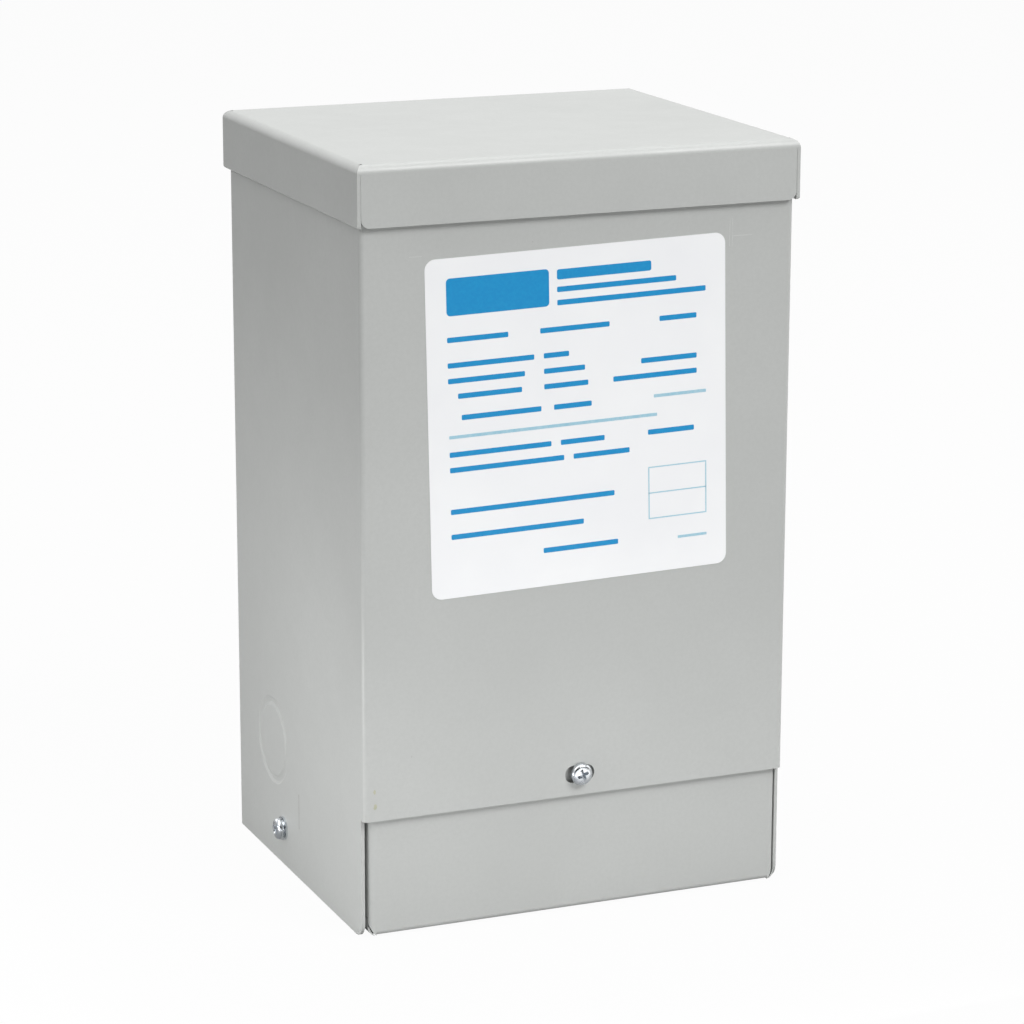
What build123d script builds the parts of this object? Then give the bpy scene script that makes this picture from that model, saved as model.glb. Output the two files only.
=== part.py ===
from build123d import *
import math
import os

# General purpose transformer in a small wall case: potted core and coil above, wiring compartment below.
# Millimetres. +Z is up and the front panel faces -Y. The origin is on the floor, mid case.

# Case
height = 232.0
sheet = 1.0
case_width = 136.8
case_depth = 117.1
case_back = 58.5
bend = 1.5
panel_bottom = 37.2
rear_flange = 15.0
foot_radius = 5.0
foot_setback = 2.6

# Lid
lid_side_gap = 0.15
lid_front_gap = 0.6
lid_back_gap = 0.5
lid_skirt = 18.0
lid_bend = 2.6
lid_seam = 0.15
lid_seam_depth = 0.12
lid_clearance = 1.0
lid_end_radius = 2.6
lid_tip_radius = 0.8
lid_edge_bevel = 0.45
relief_inset_x = 2.1
relief_inset_y = 2.9
relief_radius = 0.55

# Wiring cover, a pan that fills the opening under the front panel
cover_recess = 1.8
cover_lift = 0.75
cover_top = 50.0
cover_side_gap = 0.58
cover_shift = 0.43
cover_bend = 2.2
cover_flange = 8.0
cover_slit = 0.35
cover_tab = 20.0
corner_rise = 5.6
corner_bulge = 1.75

# Inside
shelf_bottom = 58.0
shelf_flange = 10.0
block_chamfer = 0.5
screw_space = 6.0

# Knockouts, concentric for half inch and three quarter inch conduit
knockout_y = 23.5
knockout_z = 38.4
slug_radius = 11.1
ring_radius = 14.1
ring_sink = 0.4
ring_slope = 0.9

# Screws with pan heads, and the clinch nuts they turn in
screw_shank = 1.75
screw_length = 9.5
head_radius = 3.4
head_height = 2.4
washer_radius = 3.75
washer_height = 0.6
nut_radius = 3.6
nut_height = 2.6
thread_gap = 0.05
front_screw_x = 0.79
front_screw_z = 43.95
slot_x = 0.59
slot_z = 43.85
slot_length = 9.6
slot_width = 5.4
side_screw_y = 14.4
side_screw_z = 12.0

# Back panel with its two raised mounting pads
panel_margin = 4.2
pad_height = 2.4
pad_width = 28.0
pad_low = 9.0
pad_high = 208.0
mount_spacing_x = 76.2
mount_low = 22.0
mount_spacing_z = 165.1
mount_hole = 3.6
mount_slot = 12.0
keyhole_radius = 6.5
keyhole_drop = 13.0

# Lid rivets
rivet_x = 60.0
rivet_z = 222.0
rivet_radius = 1.6
rivet_head = 3.2
rivet_rise = 1.0

# Rating label
label_width = 94.9
label_height = 100.8
label_radius = 3.2
label_thickness = 0.15
label_x = -0.41
label_z = 154.15
label_turn = 1.22

half_width = case_width / 2
front = case_back - case_depth
back = case_back
flange_back = back - sheet
lid_half_width = half_width + lid_side_gap + sheet
lid_front = front - lid_front_gap - sheet
lid_back = back + lid_back_gap + sheet
lid_under = height - sheet
case_top = lid_under - lid_clearance
mount_x = mount_spacing_x / 2
mount_high = mount_low + mount_spacing_z
cover_face = front + cover_recess
cover_half_width = half_width - sheet - cover_side_gap


def block(x0, x1, y0, y1, z0, z1):
    """A box between two corners."""
    return Pos((x0 + x1) / 2, (y0 + y1) / 2, (z0 + z1) / 2) * Box(x1 - x0, y1 - y0, z1 - z0)


def bent_sheet(plane, points, outer_radius, length):
    """A folded sheet: its middle line, thickened to the sheet and drawn out along the plane's normal."""
    line = FilletPolyline(*points, radius=outer_radius - sheet / 2)
    return extrude(plane * trace(line, sheet), amount=length)


def hole_x(x0, x1, y, z, radius):
    """A round bar along X."""
    return Pos((x0 + x1) / 2, y, z) * Rot(0, 90, 0) * Cylinder(radius, x1 - x0)


def hole_y(y0, y1, x, z, radius):
    """A round bar along Y."""
    return Pos(x, (y0 + y1) / 2, z) * Rot(90, 0, 0) * Cylinder(radius, y1 - y0)


def slot_y(y0, y1, x, z, length, width, turn=0):
    """An obround bar along Y, its long side along X, or along Z when turned a quarter."""
    return Pos(x, y1, z) * extrude(Plane.XZ * Rot(0, 0, turn) * SlotOverall(length, width), amount=y1 - y0)


def rounded_plate(plane, length, width, radius, thickness):
    """A flat plate with rounded corners."""
    return extrude(plane * RectangleRounded(length, width, radius), amount=thickness)


def case_wrapper():
    """Front panel, both side walls and the rear flanges, folded from one sheet."""
    x = half_width - sheet / 2
    y0 = front + sheet / 2
    y1 = flange_back - sheet / 2
    inner = half_width - rear_flange
    points = [(-inner, y1), (-x, y1), (-x, y0), (x, y0), (x, y1), (inner, y1)]
    case = bent_sheet(Plane.XY, points, bend, case_top)
    case -= block(-half_width, half_width, front, front + foot_setback, 0, panel_bottom)
    lower_corner = [e for e in case.edges().filter_by(Axis.X) if abs(e.center().Z) < 0.01]
    lower_corner = [e for e in lower_corner if e.center().Y < 0]
    case = fillet(lower_corner, foot_radius)
    case -= slot_y(front - 1, front + sheet + 1, slot_x, slot_z, slot_length, slot_width)
    for side in (-1, 1):
        x0 = side * half_width - 2
        x1 = side * half_width + 2
        case -= hole_x(x0, x1, knockout_y, knockout_z, ring_radius)
        case -= hole_x(x0, x1, side_screw_y, side_screw_z, screw_shank + 0.4)
        case -= hole_y(flange_back - 2, flange_back + 1, side * rivet_x, rivet_z, rivet_radius + thread_gap)
    return case


def on_wall(side, y, z):
    """Location on the left (-1) or right (+1) wall's outer face, with +Z pointing out."""
    return Pos(side * half_width, y, z) * Rot(0, side * 90, 0)


def knockout_slug(side):
    """The inner disc of a concentric knockout, level with the wall."""
    disc = Cylinder(slug_radius, sheet, align=(Align.CENTER, Align.CENTER, Align.MAX))
    return on_wall(side, knockout_y, knockout_z) * disc


def knockout_ring(side):
    """The outer ring of a concentric knockout, pressed a little into the wall between the two circles."""
    top = [(slug_radius, 0), (slug_radius + ring_slope, -ring_sink)]
    top += [(ring_radius - ring_slope, -ring_sink), (ring_radius, 0)]
    under = [(r, z - sheet) for r, z in reversed(top)]
    profile = Plane.XZ * make_face(Polyline(*top, *under, close=True))
    return on_wall(side, knockout_y, knockout_z) * revolve(profile, Axis.Z)


def keyhole(y0, y1, x):
    """A keyhole that hangs on a screw: the wide hole, and above it the narrow end where the screw rests."""
    wide = hole_y(y0, y1, x, mount_high - keyhole_drop, keyhole_radius)
    neck = block(x - mount_hole, x + mount_hole, y0, y1, mount_high - keyhole_drop, mount_high)
    return wide + neck + hole_y(y0, y1, x, mount_high, mount_hole)


def back_panel():
    """Flat plate on the rear flanges, with two raised strips that carry the mounting holes."""
    x = half_width - panel_margin
    panel = block(-x, x, back - sheet, back, 0, case_top)
    corners = panel.edges().filter_by(Axis.Y)
    panel = fillet(corners, 3.0)
    middle = (pad_low + pad_high) / 2
    length = pad_high - pad_low
    for side in (-1, 1):
        at = Plane(origin=(side * mount_x, back, middle), x_dir=(0, 0, 1), z_dir=(0, 1, 0))
        panel += extrude(at * SlotOverall(length, pad_width), amount=pad_height, taper=45)
        inside = Plane(origin=(side * mount_x, back - sheet, middle), x_dir=(0, 0, 1), z_dir=(0, 1, 0))
        trim = 2 * sheet * math.tan(math.radians(22.5))
        panel -= extrude(inside * SlotOverall(length - trim, pad_width - trim), amount=pad_height, taper=45)
        panel -= keyhole(back - 1, back + pad_height + 1, side * mount_x)
        outer = back + pad_height + 1
        panel -= slot_y(back - 1, outer, side * mount_x, mount_low, mount_slot, 2 * mount_hole)
        panel -= hole_y(back - 2, back + 1, side * rivet_x, rivet_z, rivet_radius + thread_gap)
    return panel


def corner_waste(x, z, radius, side, y0, y1):
    """What rounding the lower left or right corner at (x, z) takes off a plate that lies across Y."""
    x0, x1 = sorted((x, x - side * radius))
    return block(x0, x1, y0, y1, z, z + radius) - hole_y(y0, y1, x - side * radius, z + radius, radius)


def lid():
    """Folded cap over the case: the end skirts stand between the side skirts, joined along a fine seam."""
    skirt_bottom = height - lid_skirt
    outer = block(-lid_half_width, lid_half_width, lid_front, lid_back, skirt_bottom, height)
    outer = fillet(outer.faces().sort_by(Axis.Z)[-1].edges(), lid_bend)
    x = lid_half_width - sheet
    inner = block(-x, x, lid_front + sheet, lid_back - sheet, skirt_bottom, lid_under)
    cap = outer - fillet(inner.faces().sort_by(Axis.Z)[-1].edges(), lid_bend - sheet)
    for side in (-1, 1):
        x0, x1 = sorted((side * x, side * (x - lid_seam)))
        wall_x0, wall_x1 = sorted((side * x, side * lid_half_width))
        for y, inward in ((lid_front, 1), (lid_back, -1)):
            seam_y0, seam_y1 = sorted((y, y + inward * lid_seam_depth))
            cap -= block(x0, x1, seam_y0, seam_y1, skirt_bottom, height - lid_bend)
            y0, y1 = sorted((y, y + inward * sheet))
            cap -= corner_waste(side * (x - lid_seam), skirt_bottom, lid_end_radius, side, y0, y1)
            tip_y = y + inward * lid_tip_radius
            tip_z = skirt_bottom + lid_tip_radius
            tip = block(wall_x0, wall_x1, *sorted((y, tip_y)), skirt_bottom, tip_z)
            cap -= tip - hole_x(wall_x0, wall_x1, tip_y, tip_z, lid_tip_radius)
            relief_x = side * (lid_half_width - relief_inset_x)
            cap -= Pos(relief_x, y + inward * relief_inset_y, height) * Cylinder(relief_radius, 3 * sheet)
        cap -= hole_y(lid_back - 2, lid_back + 1, side * rivet_x, rivet_z, rivet_radius + thread_gap)
        rim = side * lid_half_width
        low = skirt_bottom - 1
        bevel = [(rim, skirt_bottom + lid_edge_bevel), (rim - side * (lid_edge_bevel + 1), low), (rim, low)]
        section = make_face(Plane.XZ.offset(-lid_back) * Polyline(*bevel, close=True))
        cap -= extrude(section, amount=lid_back - lid_front, dir=(0, -1, 0))
    return cap


def corner_prism(side, outward, gap, y0, y1):
    """Prism along Y on the outer or inner side of the curve that the cover's lower corner is cut to."""
    foot = cover_half_width - cover_bend + gap
    rim = cover_half_width + gap
    low = cover_lift - 1
    top = cover_lift + corner_rise - gap
    middle = (side * (foot + corner_bulge), cover_lift + corner_rise / 2 - gap)
    curve = ThreePointArc((side * foot, cover_lift), middle, (side * rim, top))
    far = side * (rim + 1) if outward else 0
    start = (side * foot, cover_lift)
    closing = Polyline((side * rim, top), (far, top), (far, low), (side * foot, low), start)
    plane = Plane(origin=(0, y1, 0), x_dir=(1, 0, 0), z_dir=(0, -1, 0))
    return extrude(plane * make_face(curve + closing), amount=y1 - y0)


def wiring_cover():
    """Pan under the front panel: face, bottom, side flanges cut at the lower corners, and tabs folded up."""
    y0 = cover_face + sheet / 2
    z0 = cover_lift + sheet / 2
    depth_end = flange_back - sheet - 0.4
    reach = cover_half_width - cover_bend
    along_x = Plane(origin=(-reach, 0, 0), x_dir=(0, 1, 0), z_dir=(1, 0, 0))
    cover = bent_sheet(along_x, [(y0, cover_top), (y0, z0), (depth_end, z0)], bend, 2 * reach)
    x = cover_half_width - sheet / 2
    bend_end = cover_face + cover_bend
    flange_end = cover_face + cover_flange
    flange_bottom = cover_lift + corner_rise
    face_points = [(-x, flange_end), (-x, y0), (x, y0), (x, flange_end)]
    sides = bent_sheet(Plane.XY.offset(cover_lift), face_points, cover_bend, cover_top - cover_lift)
    sides -= block(-reach, reach, cover_face, flange_end, cover_lift, cover_lift + 2 * bend)
    sides -= block(-half_width, half_width, bend_end, flange_end, cover_lift, flange_bottom)
    tab_points = [(-x, cover_tab), (-x, z0), (x, z0), (x, cover_tab)]
    along_y = Plane(origin=(0, depth_end, 0), x_dir=(1, 0, 0), z_dir=(0, -1, 0))
    tabs = bent_sheet(along_y, tab_points, cover_bend, depth_end - cover_face - cover_slit)
    room_end = flange_end + cover_slit
    room = block(-half_width, half_width, cover_face, room_end, flange_bottom - cover_slit, cover_top)
    tabs -= fillet(room.edges().filter_by(Axis.X).group_by(Axis.Y)[-1].group_by(Axis.Z)[0], 2 * bend)
    for side in (-1, 1):
        sides -= corner_prism(side, True, 0, cover_face, bend_end)
        tabs -= corner_prism(side, False, cover_slit, cover_face, bend_end)
        tabs -= hole_x(side * x - 2, side * x + 2, side_screw_y, side_screw_z, screw_shank + 0.15)
    cover = Pos(cover_shift, 0, 0) * (cover + sides + tabs)
    return cover - hole_y(cover_face - 1, y0 + sheet, front_screw_x, front_screw_z, screw_shank + 0.15)


def compartment_shelf():
    """Tray over the wiring compartment that carries the potted block."""
    x = half_width - sheet
    y0 = front + sheet
    y1 = flange_back - sheet
    tray = block(-x, x, y0, y1, shelf_bottom, shelf_bottom + shelf_flange)
    tray = fillet(tray.edges().filter_by(Axis.Z), bend - sheet + 0.1)
    inner = x - sheet
    rim = shelf_bottom + shelf_flange
    return tray - block(-inner, inner, y0 + sheet, y1 - sheet, shelf_bottom + sheet, rim)


def potted_block():
    """Core and coil cast in compound above the shelf, with an air space behind for the wall screws."""
    x = half_width - sheet
    y0 = front + sheet
    y1 = flange_back - sheet - screw_space
    step = shelf_bottom + shelf_flange
    body = block(-x, x, y0, y1, step, lid_under)
    body = fillet(body.edges().filter_by(Axis.Z).group_by(Axis.Y)[0], bend - sheet + 0.1)
    body = chamfer(body.faces().sort_by(Axis.Z)[-1].edges(), block_chamfer)
    return body + block(-x + sheet, x - sheet, y0 + sheet, y1, shelf_bottom + sheet, step)


def domed_head(radius, rise):
    """Low domed head, turned from its profile, on z = 0."""
    points = [(0, 0), (radius, 0), (radius, 0.45 * rise), (0.7 * radius, rise), (0, rise)]
    return revolve(Plane.XZ * make_face(Polyline(*points, close=True)), Axis.Z)


def pan_screw():
    """Pan head screw along +Z: the head sits on z = 0, the shank runs down."""
    head = domed_head(head_radius, head_height)
    shank = Cylinder(screw_shank, screw_length, align=(Align.CENTER, Align.CENTER, Align.MAX))
    socket = Pos(0, 0, head_height) * Box(3.6, 0.8, 2.4) + Pos(0, 0, head_height) * Box(0.8, 3.6, 2.4)
    return head + shank - socket


def ring(radius, bore, thickness):
    """Washer or nut blank along +Z from z = 0."""
    align = (Align.CENTER, Align.CENTER, Align.MIN)
    return Cylinder(radius, thickness, align=align) - Cylinder(bore, thickness, align=align)


def side_place(side, x, y, z):
    """Location with +Z pointing out of the left (-1) or right (+1) wall."""
    return Pos(side * x, y, z) * Rot(0, side * 90, 0)


def lid_rivet(side):
    """Blind rivet through the lid's rear skirt, the back panel and the rear flange."""
    length = lid_back - flange_back + sheet
    head = domed_head(rivet_head, rivet_rise)
    shank = Cylinder(rivet_radius, length, align=(Align.CENTER, Align.CENTER, Align.MAX))
    return Pos(side * rivet_x, lid_back, rivet_z) * Rot(-90, 0, 0) * (head + shank)


def rating_label():
    """Thin label with rounded corners, stuck a little askew on the front panel."""
    at = Plane(origin=(label_x, front, label_z), x_dir=(1, 0, 0), z_dir=(0, -1, 0))
    turned = at * Rot(0, 0, label_turn)
    return rounded_plate(turned, label_width, label_height, label_radius, label_thickness)


front_out = Rot(90, 0, 0)
nut_bore = screw_shank + thread_gap
nodes = {
    "case_wrapper": case_wrapper(),
    "back_panel": back_panel(),
    "lid": lid(),
    "wiring_cover": wiring_cover(),
    "compartment_shelf": compartment_shelf(),
    "potted_block": potted_block(),
    "rating_label": rating_label(),
    "front_cover_screw": Pos(front_screw_x, front, front_screw_z) * front_out * pan_screw(),
    "front_cover_nut": Pos(front_screw_x, cover_face + sheet + nut_height, front_screw_z)
    * front_out * ring(nut_radius, nut_bore, nut_height),
}
for name, side in (("left", -1), ("right", 1)):
    nodes[name + "_knockout_ring"] = knockout_ring(side)
    nodes[name + "_knockout_slug"] = knockout_slug(side)
    washer_at = side_place(side, half_width, side_screw_y, side_screw_z)
    nodes[name + "_screw_washer"] = washer_at * ring(washer_radius, screw_shank + 0.2, washer_height)
    head_at = side_place(side, half_width + washer_height, side_screw_y, side_screw_z)
    nodes[name + "_cover_screw"] = head_at * pan_screw()
    nut_x = cover_half_width - sheet - nut_height + side * cover_shift
    nut_at = side_place(side, nut_x, side_screw_y, side_screw_z)
    nodes[name + "_cover_nut"] = nut_at * ring(nut_radius, nut_bore, nut_height)
    nodes[name + "_lid_rivet"] = lid_rivet(side)

os.makedirs("parts", exist_ok=True)
for name, solid in nodes.items():
    export_step(solid, "parts/" + name + ".step")
print(len(nodes), "nodes")
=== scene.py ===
import math
import random

import bmesh
import bpy
from mathutils import Matrix, Vector


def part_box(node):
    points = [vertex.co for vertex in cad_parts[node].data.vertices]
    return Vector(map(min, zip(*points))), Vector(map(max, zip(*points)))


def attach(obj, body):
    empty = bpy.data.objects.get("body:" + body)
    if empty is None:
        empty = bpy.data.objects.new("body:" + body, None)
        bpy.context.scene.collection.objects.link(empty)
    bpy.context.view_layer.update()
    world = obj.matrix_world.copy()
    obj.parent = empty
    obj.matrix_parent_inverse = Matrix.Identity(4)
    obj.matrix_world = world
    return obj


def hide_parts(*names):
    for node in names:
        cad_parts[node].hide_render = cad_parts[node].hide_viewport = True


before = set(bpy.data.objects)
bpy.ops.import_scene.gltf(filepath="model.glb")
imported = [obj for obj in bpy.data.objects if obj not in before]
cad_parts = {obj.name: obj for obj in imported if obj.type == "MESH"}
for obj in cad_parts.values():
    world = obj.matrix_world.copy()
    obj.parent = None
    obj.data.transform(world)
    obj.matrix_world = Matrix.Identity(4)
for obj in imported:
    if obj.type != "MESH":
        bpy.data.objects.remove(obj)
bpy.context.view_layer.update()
MM = 0.001


def linear(r, g, b):
    """Linear colour from sRGB levels out of 255."""
    def one(v):
        v /= 255.0
        return v / 12.92 if v <= 0.04045 else ((v + 0.055) / 1.055) ** 2.4
    return (one(r), one(g), one(b), 1.0)


# Colours
PAINT_DARK = linear(180, 182, 180)
PAINT_LIGHT = linear(186, 188, 186)
PAINT_SPECK = linear(174, 176, 174)
# Lighter edge colour: worn paint, and also a painted highlight where edges catch light
PAINT_WORN_AND_EDGE_SHEEN = linear(214, 216, 213)
ZINC_DARK = linear(196, 201, 208)
ZINC_LIGHT = linear(222, 225, 226)
LABEL_DARK = linear(238, 239, 241)
LABEL_LIGHT = linear(242, 243, 244)
LABEL_RIM = linear(205, 207, 205)
INK = linear(0, 138, 198)
INK_FADED = linear(20, 156, 206)
PALE_INK = linear(150, 196, 214)
PALE_INK_FADED = linear(196, 216, 224)
COMPOUND_DARK = linear(40, 38, 36)
COMPOUND_LIGHT = linear(74, 70, 64)
CARD_DARK = linear(26, 27, 29)
CARD_LIGHT = linear(34, 35, 37)

# Surface relief, and the edge reach of wear and of the painted edge highlight, in metres
WAVE_HEIGHT = 0.10 * MM
PEEL_HEIGHT = 0.010 * MM
TOUCH_HEIGHT = 0.01 * MM
ZINC_GRAIN_HEIGHT = 0.010 * MM
LABEL_WAVE_HEIGHT = 0.05 * MM
INK_GRAIN_HEIGHT = 0.004 * MM
SAND_HEIGHT = 0.15 * MM
PAINT_EDGE = 0.35 * MM
LABEL_EDGE = 0.3 * MM
LABEL_RIM_SHARE = 0.35
BEVEL_SAMPLES = 4
BEVEL_FULL = 0.82


class Maker:
    """A small builder for node materials: each call adds one node and returns its output."""

    def __init__(self, name):
        self.material = bpy.data.materials.new(name)
        self.material.use_nodes = True
        self.tree = self.material.node_tree
        self.tree.nodes.clear()
        self.out = self.tree.nodes.new("ShaderNodeOutputMaterial")
        self.shader = self.tree.nodes.new("ShaderNodeBsdfPrincipled")
        self.tree.links.new(self.shader.outputs[0], self.out.inputs["Surface"])
        self.place = self.tree.nodes.new("ShaderNodeTexCoord").outputs["Object"]

    def join(self, value, socket):
        """Links an output to the socket, or sets a plain value on it."""
        if isinstance(value, bpy.types.NodeSocket):
            self.tree.links.new(value, socket)
        else:
            socket.default_value = value

    def set(self, name, value):
        self.join(value, self.shader.inputs[name])

    def noise(self, scale, detail=2.0, rough=0.5):
        node = self.tree.nodes.new("ShaderNodeTexNoise")
        node.inputs["Scale"].default_value = scale
        node.inputs["Detail"].default_value = detail
        node.inputs["Roughness"].default_value = rough
        self.join(self.place, node.inputs["Vector"])
        return node.outputs["Fac"]

    def span(self, value, low, high, to_low, to_high):
        """The value carried over from one range to another."""
        node = self.tree.nodes.new("ShaderNodeMapRange")
        ends = ("From Min", low), ("From Max", high), ("To Min", to_low), ("To Max", to_high)
        for name, number in ends:
            node.inputs[name].default_value = number
        self.join(value, node.inputs["Value"])
        return node.outputs["Result"]

    def times(self, a, b):
        node = self.tree.nodes.new("ShaderNodeMath")
        node.operation = "MULTIPLY"
        self.join(a, node.inputs[0])
        self.join(b, node.inputs[1])
        return node.outputs[0]

    def mix(self, fac, a, b):
        node = self.tree.nodes.new("ShaderNodeMix")
        node.data_type = "RGBA"
        self.join(fac, node.inputs["Factor"])
        self.join(a, node.inputs[6])
        self.join(b, node.inputs[7])
        return node.outputs[2]

    def bump(self, height, distance, under=None):
        node = self.tree.nodes.new("ShaderNodeBump")
        node.inputs["Distance"].default_value = distance
        self.join(height, node.inputs["Height"])
        if under is not None:
            self.join(under, node.inputs["Normal"])
        return node.outputs[0]

    def edge(self, radius):
        """0 on flat faces, rising at edges sharper than the radius."""
        bevel = self.tree.nodes.new("ShaderNodeBevel")
        bevel.samples = BEVEL_SAMPLES
        bevel.inputs["Radius"].default_value = radius
        true = self.tree.nodes.new("ShaderNodeNewGeometry").outputs["Normal"]
        dot = self.tree.nodes.new("ShaderNodeVectorMath")
        dot.operation = "DOT_PRODUCT"
        self.join(bevel.outputs[0], dot.inputs[0])
        self.join(true, dot.inputs[1])
        return self.span(dot.outputs["Value"], 1.0, BEVEL_FULL, 0.0, 1.0)


def case_paint():
    """Light grey baked enamel over sheet steel: fine orange peel, a soft mottle, and edges lightened in patches,
    partly by thinner worn paint along cut edges and partly as a painted highlight.
    """
    m = Maker("case_paint")
    cloud = m.noise(14.0, 3.0, 0.55)
    fine = m.noise(900.0, 2.0, 0.6)
    base = m.mix(m.span(cloud, 0.3, 0.7, 0.0, 1.0), PAINT_DARK, PAINT_LIGHT)
    base = m.mix(m.span(fine, 0.35, 0.65, 0.0, 0.25), base, PAINT_SPECK)
    # Edges lightened in patches: partly worn paint, partly a painted highlight along the edges
    worn_and_sheen = m.times(m.edge(PAINT_EDGE), m.span(m.noise(260.0, 3.0, 0.6), 0.42, 0.62, 0.0, 0.55))
    m.set("Base Color", m.mix(worn_and_sheen, base, PAINT_WORN_AND_EDGE_SHEEN))
    m.set("Roughness", m.span(m.noise(60.0, 3.0, 0.6), 0.3, 0.7, 0.36, 0.46))
    m.set("Specular IOR Level", 0.5)
    waves = m.bump(m.noise(26.0, 1.0, 0.4), WAVE_HEIGHT)
    m.set("Normal", m.bump(m.noise(640.0, 2.0, 0.5), PEEL_HEIGHT, waves))
    return m.material


def touch_paint(name, dark, light):
    """A small touch of paint of another shade, with its own fine grain."""
    m = Maker(name)
    grain = m.noise(900.0, 3.0, 0.6)
    m.set("Base Color", m.mix(m.span(grain, 0.35, 0.65, 0.0, 1.0), dark, light))
    m.set("Roughness", m.span(m.noise(400.0, 2.0, 0.5), 0.3, 0.7, 0.40, 0.52))
    m.set("Normal", m.bump(grain, TOUCH_HEIGHT))
    return m.material


def zinc():
    """Bright zinc plate on turned and pressed steel."""
    m = Maker("zinc_plate")
    tint = m.noise(300.0, 3.0, 0.6)
    m.set("Base Color", m.mix(m.span(tint, 0.3, 0.7, 0.0, 1.0), ZINC_DARK, ZINC_LIGHT))
    m.set("Metallic", 1.0)
    m.set("Roughness", m.span(m.noise(900.0, 2.0, 0.6), 0.3, 0.7, 0.16, 0.30))
    m.set("Normal", m.bump(m.noise(1500.0, 2.0, 0.6), ZINC_GRAIN_HEIGHT))
    return m.material


def label_film():
    """White polyester label stock with a soft gloss."""
    m = Maker("label_film")
    cloud = m.noise(40.0, 2.0, 0.5)
    base = m.mix(m.span(cloud, 0.3, 0.7, 0.0, 1.0), LABEL_DARK, LABEL_LIGHT)
    rim = m.times(m.edge(LABEL_EDGE), LABEL_RIM_SHARE)
    m.set("Base Color", m.mix(rim, base, LABEL_RIM))
    m.set("Roughness", m.span(m.noise(500.0, 2.0, 0.5), 0.3, 0.7, 0.30, 0.38))
    m.set("Normal", m.bump(m.noise(30.0, 1.0, 0.4), LABEL_WAVE_HEIGHT))
    return m.material


def label_ink(name, colour, faded):
    """Screen printed ink, a little uneven in its cover."""
    m = Maker(name)
    cover = m.span(m.noise(1100.0, 3.0, 0.65), 0.38, 0.72, 0.0, 0.4)
    m.set("Base Color", m.mix(cover, colour, faded))
    m.set("Roughness", m.span(m.noise(700.0, 2.0, 0.5), 0.3, 0.7, 0.32, 0.45))
    m.set("Normal", m.bump(m.noise(1600.0, 2.0, 0.5), INK_GRAIN_HEIGHT))
    return m.material


def compound():
    """Dark potting compound with sand in it."""
    m = Maker("potting_compound")
    grain = m.noise(800.0, 4.0, 0.7)
    m.set("Base Color", m.mix(m.span(grain, 0.35, 0.65, 0.0, 1.0), COMPOUND_DARK, COMPOUND_LIGHT))
    m.set("Roughness", m.span(grain, 0.3, 0.7, 0.75, 0.92))
    m.set("Normal", m.bump(grain, SAND_HEIGHT))
    return m.material


paint = case_paint()
plate = zinc()
film = label_film()
ink = label_ink("label_ink", INK, INK_FADED)
pale_ink = label_ink("label_ink_pale", PALE_INK, PALE_INK_FADED)
potting = compound()
# A lighter paint: real paint specks on the wall, and a painted highlight for the pressed guide marks on the front
# panel
guide_highlight_and_speck_paint = touch_paint("guide_highlight_and_speck_paint", linear(187, 189, 187), linear(194, 196, 194))
primer = touch_paint("primer_spot", linear(166, 168, 148), linear(180, 178, 156))
# A darker paint, for the faint upright strip on the left wall and the small grit spots on the front
darker_touch = touch_paint("darker_touch_paint", linear(166, 167, 165), linear(176, 177, 175))

ZINC_WORDS = ("screw", "nut", "washer", "rivet")


def look_for(node):
    """The material of a node of the solid model, by its name."""
    if node == "rating_label":
        return film
    if node == "potted_block":
        return potting
    return plate if any(word in node for word in ZINC_WORDS) else paint


for node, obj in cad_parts.items():
    if not obj.data.materials:
        obj.data.materials.append(look_for(node))
    for i in range(len(obj.data.materials)):
        obj.data.materials[i] = look_for(node)


# Mesh helpers
MERGE_DISTANCE = 1e-7


def new_object(name, verts, faces):
    """An object in the scene, from points and faces."""
    mesh = bpy.data.meshes.new(name)
    mesh.from_pydata([tuple(v) for v in verts], [], faces)
    obj = bpy.data.objects.new(name, mesh)
    bpy.context.scene.collection.objects.link(obj)
    return obj


def add(name, verts, faces, material, smooth=None, body="root"):
    """A finished piece from points and faces in metres."""
    obj = new_object(name, verts, faces)
    obj.data.validate()
    obj.data.materials.append(material)
    finish_mesh(obj, smooth)
    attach(obj, body)
    return obj


def finish_mesh(obj, smooth):
    """Outward normals, and smooth shading under the given angle."""
    bm = bmesh.new()
    bm.from_mesh(obj.data)
    bmesh.ops.remove_doubles(bm, verts=bm.verts, dist=MERGE_DISTANCE)
    bmesh.ops.recalc_face_normals(bm, faces=bm.faces)
    if smooth is not None:
        for face in bm.faces:
            face.smooth = True
        for e in bm.edges:
            e.smooth = len(e.link_faces) == 2 and e.calc_face_angle(0.0) < math.radians(smooth)
    bm.to_mesh(obj.data)
    bm.free()


def lathe(profile, segments):
    """Points and faces of a profile of (radius, z) turned round Z; ends on the axis close to a point."""
    verts, rings, faces = [], [], []
    for r, z in profile:
        if r < 1e-9:
            rings.append([len(verts)])
            verts.append((0.0, 0.0, z))
        else:
            first = len(verts)
            for k in range(segments):
                a = 2 * math.pi * k / segments
                verts.append((r * math.cos(a), r * math.sin(a), z))
            rings.append(list(range(first, first + segments)))
    for low, high in zip(rings, rings[1:]):
        for k in range(segments):
            n = (k + 1) % segments
            quad = [low[k % len(low)], low[n % len(low)], high[n % len(high)], high[k % len(high)]]
            quad = list(dict.fromkeys(quad))
            if len(quad) > 2:
                faces.append(quad)
    return verts, faces


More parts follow.
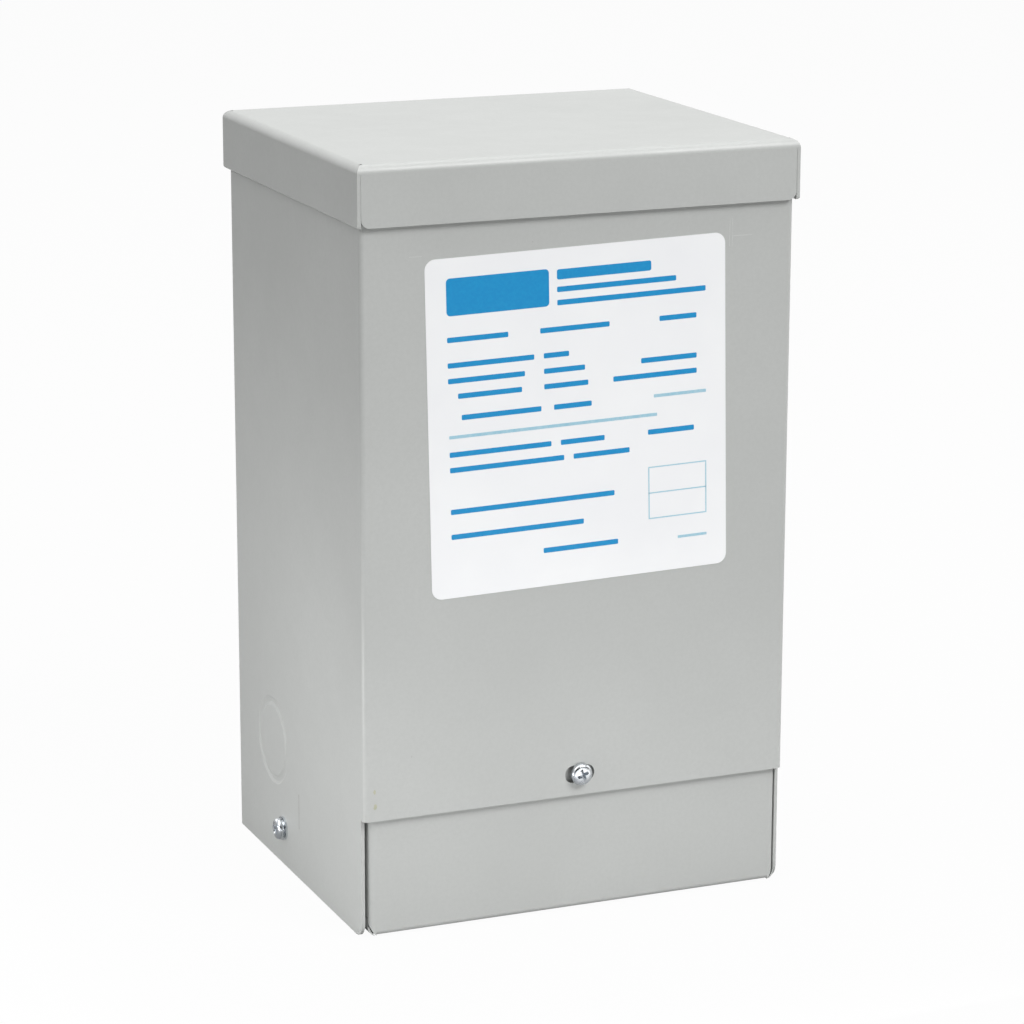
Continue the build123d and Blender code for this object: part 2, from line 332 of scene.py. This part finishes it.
def cut(obj, verts, faces):
    """Takes a closed shape out of the object."""
    tool = new_object("cutter", verts, faces)
    finish_mesh(tool, None)
    mod = obj.modifiers.new("cut", "BOOLEAN")
    mod.operation = "DIFFERENCE"
    mod.solver = "EXACT"
    mod.object = tool
    dg = bpy.context.evaluated_depsgraph_get()
    result = bpy.data.meshes.new_from_object(obj.evaluated_get(dg))
    obj.modifiers.clear()
    old, cutter = obj.data, tool.data
    obj.data = result
    bpy.data.meshes.remove(old)
    bpy.data.objects.remove(tool)
    bpy.data.meshes.remove(cutter)


def place_points(verts, place):
    """Points in millimetres, carried to a place in metres."""
    return [place @ (Vector(v) * MM) for v in verts]


def centre(node):
    lo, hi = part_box(node)
    return (Vector(lo) + Vector(hi)) / 2


def facing(direction):
    """Rotation that turns +Z to the direction."""
    return Vector(direction).to_track_quat("Z", "Y").to_matrix().to_4x4()


# Cover screws, in millimetres
HEAD_RADIUS = 3.4
HEAD_HEIGHT = 2.4
HEAD_SIDE = 1.05
HEAD_SHOULDER = 1.25
SHOULDER_TURN = 80
UNDERCUT_RISE = 0.62
LIP_INSET = 0.06
LIP_STEPS = (0.04, 0.14)
SCREW_LENGTH = 9.5
THREAD_PITCH = 0.79
THREAD_DEPTH = 0.32
THREAD_FLAT = 0.1
THREAD_RUNOUT = 1.2
POINT_TAPER = 0.35
SHANK_RADIUS = 1.75
FRONT_UNDERCUT = 0.15
SIDE_UNDERCUT = 0.95
FRONT_TURN = 20.0
SIDE_TURN = 35.0
SCREW_SMOOTH = 32
HEAD_SEGMENTS = 96

# Cross recess: height, reach of a wing, half its width, and where it leaves the core
RECESS_LEVELS = [
    (HEAD_HEIGHT + 0.4, 2.02, 0.50, 0.78),
    (HEAD_HEIGHT - 0.5, 1.62, 0.42, 0.66),
    (HEAD_HEIGHT - 1.75, 0.62, 0.26, 0.40),
]
WINGS = 4
POINTS_PER_WING = 3


def pan_head_profile(undercut):
    """Pan head from the bearing face up: an undercut, a straight side, a rounded shoulder and a low crown."""
    neck = HEAD_RADIUS - undercut
    lip = UNDERCUT_RISE * undercut
    points = [(0.0, 0.0), (neck, 0.0), (neck, lip)]
    points += [(HEAD_RADIUS - LIP_INSET, lip + LIP_STEPS[0]), (HEAD_RADIUS, lip + LIP_STEPS[1])]
    points.append((HEAD_RADIUS, HEAD_SIDE))
    for k in range(1, 9):
        a = math.radians(SHOULDER_TURN * k / 8)
        r = HEAD_RADIUS - HEAD_SHOULDER + HEAD_SHOULDER * math.cos(a)
        points.append((r, HEAD_SIDE + HEAD_SHOULDER * math.sin(a)))
    top_r, top_z = points[-1]
    for k in range(1, 5):
        t = 1 - k / 4
        points.append((top_r * t, HEAD_HEIGHT - (HEAD_HEIGHT - top_z) * t * t))
    return points


def cross_recess():
    """Cross recess cutter: four tapering wings round a core, from above the head down to a blunt point."""
    verts, faces = [], []
    for z, reach, half, core in RECESS_LEVELS:
        for k in range(WINGS):
            a = math.pi / 2 * k
            c, s = math.cos(a), math.sin(a)
            for x, y in ((core, -half), (reach, -half), (reach, half)):
                verts.append((x * c - y * s, x * s + y * c, z))
    n = WINGS * POINTS_PER_WING
    last = len(RECESS_LEVELS) - 1
    for level in range(last):
        for k in range(n):
            a, b = level * n + k, level * n + (k + 1) % n
            faces.append((a, b, b + n, a + n))
    faces.append(tuple(range(n)))
    faces.append(tuple(reversed(range(last * n, (last + 1) * n))))
    return verts, faces


def threaded_shank(segments=32, steps=8):
    """Machine screw thread below the head, as one wound surface."""
    verts, faces = [], []
    rows = int(SCREW_LENGTH / THREAD_PITCH * steps)
    for row in range(rows + 1):
        z = -SCREW_LENGTH * row / rows
        fade = min(1.0, max(0.0, (SCREW_LENGTH + z) / (THREAD_RUNOUT * THREAD_PITCH)))
        for k in range(segments):
            a = 2 * math.pi * k / segments
            turn = (z / THREAD_PITCH + k / segments) % 1.0
            crest = 1 - abs(2 * turn - 1)
            crest = min(1.0, max(0.0, (crest - THREAD_FLAT) / (1 - 2 * THREAD_FLAT)))
            r = SHANK_RADIUS - THREAD_DEPTH * (1 - crest * fade) - POINT_TAPER * (1 - fade)
            verts.append((r * math.cos(a), r * math.sin(a), z))
    for row in range(rows):
        for k in range(segments):
            a, b = row * segments + k, row * segments + (k + 1) % segments
            faces.append((a, b, b + segments, a + segments))
    top, bottom = len(verts), len(verts) + 1
    verts += [(0.0, 0.0, 0.3), (0.0, 0.0, -SCREW_LENGTH)]
    for k in range(segments):
        n = (k + 1) % segments
        faces.append((top, k, n))
        faces.append((bottom, rows * segments + n, rows * segments + k))
    return verts, faces


def screw(name, place, turn, node, undercut):
    """Pan head screw with a cross recess at the node's place."""
    obj = new_object(name, *lathe(pan_head_profile(undercut), HEAD_SEGMENTS))
    finish_mesh(obj, None)
    cut(obj, *cross_recess())
    shank_verts, shank_faces = threaded_shank()
    shank = bpy.data.meshes.new("shank")
    shank.from_pydata(shank_verts, [], shank_faces)
    bm = bmesh.new()
    bm.from_mesh(obj.data)
    bm.from_mesh(shank)
    bm.to_mesh(obj.data)
    bm.free()
    bpy.data.meshes.remove(shank)
    obj.data.transform(place @ Matrix.Rotation(math.radians(turn), 4, "Z") @ Matrix.Scale(MM, 4))
    obj.data.materials.clear()
    obj.data.materials.append(plate)
    finish_mesh(obj, SCREW_SMOOTH)
    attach(obj, "root")
    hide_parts(node)


front_middle = centre("front_cover_screw")
front_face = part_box("front_cover_screw")[0][1]
front_seat = Vector((front_middle.x, front_face + HEAD_HEIGHT * MM, front_middle.z))
front_place = Matrix.Translation(front_seat) @ facing((0, -1, 0))
screw("front_screw_detail", front_place, FRONT_TURN, "front_cover_screw", FRONT_UNDERCUT)
for side, name in ((-1, "left"), (1, "right")):
    node = name + "_cover_screw"
    lo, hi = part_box(node)
    outer = hi[0] if side > 0 else lo[0]
    seat = Vector((outer - side * HEAD_HEIGHT * MM, centre(node).y, centre(node).z))
    place = Matrix.Translation(seat) @ facing((side, 0, 0))
    screw(name + "_screw_detail", place, SIDE_TURN * side, node, SIDE_UNDERCUT)


# Lid rivets, in millimetres
RIVET_SHANK = 1.6
RIVET_LENGTH = 3.2
RIVET_RISE = 1.0
RIVET_BORE = 1.05
RIVET_ROLL = 0.35
RIVET_EDGE = 0.06
RIVET_SMOOTH = 30
DOME_DROP = 0.78
DOME_POWER = 2.6


def rivet(name, node):
    """Blind rivet on the lid's rear skirt: a low domed flange round the hollow left by its broken mandrel."""
    lo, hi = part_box(node)
    flange = (hi[0] - lo[0]) / 2 / MM
    profile = [(0.0, 0.42), (0.62, 0.46), (0.74, 0.36), (RIVET_BORE - 0.12, 0.30)]
    profile += [(RIVET_BORE, 0.72), (RIVET_BORE + 0.16, 0.93)]
    roll = RIVET_BORE + RIVET_ROLL
    for k in range(9):
        t = k / 8
        profile.append((roll + (flange - roll) * t, RIVET_RISE * (1 - DOME_DROP * t ** DOME_POWER)))
    profile += [(flange, RIVET_EDGE), (flange - RIVET_EDGE, 0.0)]
    profile += [(RIVET_SHANK, 0.0), (RIVET_SHANK, -RIVET_LENGTH), (0.0, -RIVET_LENGTH)]
    verts, faces = lathe(profile, 64)
    seat = Vector((centre(node).x, hi[1] - RIVET_RISE * MM, centre(node).z))
    place = Matrix.Translation(seat) @ facing((0, 1, 0))
    obj = add(name, place_points(verts, place), faces, plate, RIVET_SMOOTH)
    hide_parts(node)


for name in ("left", "right"):
    rivet(name + "_rivet_detail", name + "_lid_rivet")


# Flat outlines and the thin films that fill them
def rounded(u0, v0, u1, v1, radius, steps=5):
    """Outline of a rectangle with rounded corners, counter-clockwise."""
    radius = min(radius, (u1 - u0) / 2, (v1 - v0) / 2)
    corners = ((u1 - radius, v0 + radius, -90), (u1 - radius, v1 - radius, 0),
               (u0 + radius, v1 - radius, 90), (u0 + radius, v0 + radius, 180))
    points = []
    for cu, cv, start in corners:
        for k in range(steps + 1):
            a = math.radians(start + 90 * k / steps)
            points.append((cu + radius * math.cos(a), cv + radius * math.sin(a)))
    return points


def bar(u, v, length, thick):
    """A plain rule that stands for a line of words."""
    return rounded(u, v - thick / 2, u + length, v + thick / 2, thick * 0.2, 3)


def open_box(u0, v0, u1, v1, radius, line):
    """Four strips that draw an open box."""
    strips = ((u0, v0, u1, v0 + line), (u0, v1 - line, u1, v1),
              (u0, v0 + line, u0 + line, v1 - line), (u1 - line, v0 + line, u1, v1 - line))
    return [rounded(*strip, radius, 2) for strip in strips]


def blot(u, v, width, height, seed):
    """An uneven spot of dried paint."""
    chance = random.Random(seed)
    points = []
    for k in range(14):
        a = 2 * math.pi * k / 14
        reach = 0.5 * chance.uniform(0.72, 1.1)
        points.append((u + width * reach * math.cos(a), v + height * reach * math.sin(a)))
    return points


def film_piece(name, outlines, place, rise, material):
    """Thin raised films inside the outlines, one piece for them all, on the plane that place describes."""
    verts, faces = [], []
    for outline in outlines:
        first, n = len(verts), len(outline)
        verts += [place(u, v, rise) for u, v in outline]
        verts += [place(u, v, 0.0) for u, v in outline]
        faces.append(tuple(range(first, first + n)))
        faces.append(tuple(reversed(range(first + n, first + 2 * n))))
        for k in range(n):
            m = (k + 1) % n
            faces.append((first + k, first + n + k, first + n + m, first + m))
    return add(name, verts, faces, material)


# Rating label print, in millimetres from the label's middle
LABEL_TURN = math.radians(1.22)
INK_RISE = 0.02
RULE = 1.55
FINE_RULE = 0.95
LAST_RULE = 0.8
BOX_LINE = 0.35
label_centre = centre("rating_label")
label_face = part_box("rating_label")[0][1]


def on_label(u, v, rise):
    """A place on the label in millimetres from its middle, and above its face."""
    c, s = math.cos(LABEL_TURN), math.sin(LABEL_TURN)
    x = label_centre.x + (u * c - v * s) * MM
    z = label_centre.z + (u * s + v * c) * MM
    return (x, label_face - rise * MM, z)


# Height of each row, then the start and length of its rules
RULE_ROWS = [
    (26.5, ((-41, 19), (-12, 22), (26, 12))),
    (19.0, ((-41, 27), (-11, 8))),
    (14.4, ((-41, 24), (-11, 13), (20, 18))),
    (9.8, ((-38, 20), (-11, 14), (11, 27))),
    (3.4, ((-37, 25), (-8, 12))),
    (-7.4, ((-41, 32), (-6, 14), (22, 15))),
    (-12.0, ((-41, 36), (-2, 18))),
    (-24.5, ((-41, 52),)),
    (-32.0, ((-41, 42),)),
    (-39.5, ((-12, 24),)),
]
heading = [rounded(-41.0, 33.5, -9.0, 44.5, 1.2), rounded(-6.5, 33.5, 41.0, 35.1, 0.3)]
heading += [bar(-6.5, 42.6, 30.0, 3.0), bar(-6.5, 38.2, 38.0, 1.6)]
rules = [bar(u, v, length, RULE) for v, parts in RULE_ROWS for u, length in parts]
film_piece("label_rules", heading + rules, on_label, INK_RISE, ink)
fine = [bar(-41, -2.2, 66, FINE_RULE), bar(24, 3.4, 17, FINE_RULE), bar(31.5, -40.5, 9.5, LAST_RULE)]
fine += open_box(22.0, -34.0, 41.0, -18.0, 0.1, BOX_LINE)
fine.append(rounded(22.0, -26.2, 41.0, -25.85, 0.1, 2))
film_piece("label_fine_rules", fine, on_label, INK_RISE, pale_ink)


# Small marks in the paint: their heights above the sheet, in millimetres
MARK_RISE = 0.03
SPECK_RISE = 0.04
STRIP_RISE = 0.012
GRIT_RISE = 0.05
FRONT_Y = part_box("case_wrapper")[0][1]
LEFT_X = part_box("case_wrapper")[0][0]


def on_front(x, z, rise):
    """A place on the front panel in millimetres, and above its face."""
    return (x * MM, FRONT_Y - rise * MM, z * MM)


def on_left(y, z, rise):
    """A place on the left wall in millimetres, and above its face."""
    return (LEFT_X - rise * MM, y * MM, z * MM)


# Two upright strokes and two short level ones below the lid's edge: left, bottom, right, top. They stand for
# pressed guide marks and show only as a painted highlight in a lighter paint
GUIDE_MARKS = [
    (47.35, 201.1, 47.65, 209.5),
    (48.25, 201.1, 48.55, 209.5),
    (48.55, 204.05, 54.9, 204.35),
    (-53.5, 204.6, -49.5, 204.9),
]
marks = [rounded(*mark, 0.1, 2) for mark in GUIDE_MARKS]
# Painted highlight: the guide marks are lighter paint, not relief
film_piece("panel_guide_marks", marks, on_front, MARK_RISE, guide_highlight_and_speck_paint)
spots = [blot(-65.1, 46.4, 0.9, 1.5, 3), blot(-64.9, 41.7, 1.2, 1.8, 5)]
film_piece("panel_primer_spots", spots, on_front, MARK_RISE, primer)
specks = [blot(-48.4, 187.1, 0.7, 0.5, 7), blot(-48.3, 180.0, 0.6, 0.5, 8), blot(-27.1, 180.7, 0.8, 0.5, 9)]
film_piece("wall_paint_specks", specks, on_left, SPECK_RISE, guide_highlight_and_speck_paint)
# A faint darker upright strip low on the left wall
dark_strip = [rounded(-0.75, 16.3, 0.35, 27.6, 0.4, 4)]
film_piece("wall_dark_strip", dark_strip, on_left, STRIP_RISE, darker_touch)
grit = [blot(-53.4, 55.9, 0.45, 0.6, 12), blot(-15.4, 206.7, 0.4, 0.5, 13)]
film_piece("panel_grit", grit, on_front, GRIT_RISE, darker_touch)


# Floor, surroundings and light, in metres and watts
FLOOR_REACH = 30.0
FLOOR_WHITE = 0.965
FLOOR_MATTE = 0.45
AMBIENT = 0.022
AMBIENT_TINT = (0.98, 0.99, 1.0, 1.0)


def stage_floor():
    """White to the camera, apart from the share that takes the object's shadow, and matte to all other rays."""
    reach = FLOOR_REACH
    corners = [(-reach, -reach, 0), (reach, -reach, 0), (reach, reach, 0), (-reach, reach, 0)]
    obj = new_object("floor", corners, [(0, 1, 2, 3)])
    material = bpy.data.materials.new("floor_white")
    material.use_nodes = True
    tree = material.node_tree
    tree.nodes.clear()
    out = tree.nodes.new("ShaderNodeOutputMaterial")
    blend = tree.nodes.new("ShaderNodeMixShader")
    white = tree.nodes.new("ShaderNodeEmission")
    matte = tree.nodes.new("ShaderNodeBsdfDiffuse")
    path = tree.nodes.new("ShaderNodeLightPath")
    share = tree.nodes.new("ShaderNodeMath")
    share.operation = "MULTIPLY"
    share.inputs[1].default_value = FLOOR_WHITE
    matte.inputs["Color"].default_value = (FLOOR_MATTE, FLOOR_MATTE, FLOOR_MATTE, 1.0)
    white.inputs["Strength"].default_value = 1.0
    tree.links.new(path.outputs["Is Camera Ray"], share.inputs[0])
    tree.links.new(share.outputs[0], blend.inputs[0])
    tree.links.new(matte.outputs[0], blend.inputs[1])
    tree.links.new(white.outputs[0], blend.inputs[2])
    tree.links.new(blend.outputs[0], out.inputs["Surface"])
    obj.data.materials.append(material)


def surroundings():
    """A white background to the camera, to reflections and through clear things, and a faint light otherwise."""
    world = bpy.data.worlds.new("studio")
    bpy.context.scene.world = world
    world.use_nodes = True
    tree = world.node_tree
    tree.nodes.clear()
    out = tree.nodes.new("ShaderNodeOutputWorld")
    seen = tree.nodes.new("ShaderNodeBackground")
    light = tree.nodes.new("ShaderNodeBackground")
    seen.inputs["Strength"].default_value = 1.0
    light.inputs["Color"].default_value = AMBIENT_TINT
    light.inputs["Strength"].default_value = AMBIENT
    path = tree.nodes.new("ShaderNodeLightPath")
    either = tree.nodes.new("ShaderNodeMath")
    either.operation = "MAXIMUM"
    both = tree.nodes.new("ShaderNodeMath")
    both.operation = "MAXIMUM"
    tree.links.new(path.outputs["Is Camera Ray"], either.inputs[0])
    tree.links.new(path.outputs["Is Glossy Ray"], either.inputs[1])
    tree.links.new(either.outputs[0], both.inputs[0])
    tree.links.new(path.outputs["Is Transmission Ray"], both.inputs[1])
    blend = tree.nodes.new("ShaderNodeMixShader")
    tree.links.new(both.outputs[0], blend.inputs[0])
    tree.links.new(light.outputs[0], blend.inputs[1])
    tree.links.new(seen.outputs[0], blend.inputs[2])
    tree.links.new(blend.outputs[0], out.inputs["Surface"])


def softbox(name, place, target, size, power):
    """A rectangular lamp at a place, turned to its target, that the camera doesn't see."""
    data = bpy.data.lights.new(name, "AREA")
    data.shape = "RECTANGLE"
    data.size, data.size_y = size
    data.energy = power
    obj = bpy.data.objects.new(name, data)
    bpy.context.scene.collection.objects.link(obj)
    obj.location = place
    obj.rotation_mode = "QUATERNION"
    obj.rotation_quaternion = (Vector(target) - Vector(place)).to_track_quat("-Z", "Y")
    obj.visible_camera = False


def dark_card(name, corners):
    """A dark card that only shiny metal sees, for contrast in its reflections."""
    obj = new_object(name, corners, [tuple(range(len(corners)))])
    card = Maker("card_black")
    card.set("Base Color", card.mix(card.noise(20.0), CARD_DARK, CARD_LIGHT))
    card.set("Roughness", 0.9)
    obj.data.materials.append(card.material)
    obj.visible_camera = obj.visible_diffuse = obj.visible_shadow = obj.visible_transmission = False


# Name, place, target, size and watts
LAMPS = [
    ("key", (0.75, -1.55, 1.75), (0, 0, 0.12), (1.3, 1.0), 44.8),
    ("top", (0.0, 0.25, 1.7), (0, 0, 0.2), (1.6, 1.4), 17.4),
    ("left_top", (-1.3, -0.3, 1.6), (0, 0, 0.12), (1.0, 1.0), 10.1),
    ("far_front", (0.1, -1.7, 0.5), (0, 0, 0.1), (1.0, 1.0), 2.0),
    ("back_fill", (-0.7, 1.5, 0.8), (0, 0, 0.12), (1.2, 1.2), 4.0),
    ("right_fill", (1.6, 0.1, 0.7), (0, 0, 0.12), (1.0, 1.0), 6.0),
    ("low_front", (0.0, -0.17, 0.012), (0.0, -0.06, 0.01), (0.2, 0.02), 0.0228),
    ("low_front_wide", (0.0, -0.26, 0.03), (0.0, -0.06, 0.02), (0.2, 0.05), 0.0345),
    ("low_left", (-0.17, -0.02, 0.012), (-0.06, -0.02, 0.01), (0.2, 0.02), 0.0058),
    ("low_left_wide", (-0.24, -0.05, 0.03), (-0.06, -0.02, 0.02), (0.2, 0.05), 0.1986),
]
CARD_Y = -1.3
FRONT_CARD = [(-1.6, CARD_Y, 0.10), (1.6, CARD_Y, 0.10), (1.6, CARD_Y, 1.45), (-1.6, CARD_Y, 1.45)]
CARD_Z = 2.1
CEILING_CARD = [(-0.2, CARD_Y, CARD_Z), (2.2, CARD_Y, CARD_Z), (2.2, 1.2, CARD_Z), (-0.2, 1.2, CARD_Z)]

stage_floor()
surroundings()
for lamp in LAMPS:
    softbox(*lamp)
dark_card("front_card", FRONT_CARD)
dark_card("ceiling_card", CEILING_CARD)


# Camera
AZIMUTH = math.radians(-22.6223)
ELEVATION = math.radians(14.4227)
ROLL = math.radians(0.1305)
SENSOR = 36.0
LENS = 127.79
NEAR, FAR = 0.05, 100.0
TARGET_MM = (2.959, 0.4, 110.640)
DISTANCE = 1.12839


def aim_camera():
    """A camera that looks back along the line from its target, with a slight roll."""
    level = math.cos(ELEVATION)
    back_way = Vector((math.sin(AZIMUTH) * level, -math.cos(AZIMUTH) * level, math.sin(ELEVATION)))
    right_way = Vector((math.cos(AZIMUTH), math.sin(AZIMUTH), 0.0))
    up_way = back_way.cross(right_way)
    right = right_way * math.cos(ROLL) + up_way * math.sin(ROLL)
    up = up_way * math.cos(ROLL) - right_way * math.sin(ROLL)
    spot = Vector(TARGET_MM) * MM + back_way * DISTANCE
    data = bpy.data.cameras.new("camera")
    data.sensor_width = SENSOR
    data.lens = LENS
    data.clip_start, data.clip_end = NEAR, FAR
    camera = bpy.data.objects.new("camera", data)
    bpy.context.scene.collection.objects.link(camera)
    rows = [(right[i], up[i], back_way[i], spot[i]) for i in range(3)]
    camera.matrix_world = Matrix((*rows, (0.0, 0.0, 0.0, 1.0)))
    bpy.context.scene.camera = camera


aim_camera()
bpy.context.scene.view_settings.view_transform = "Standard"
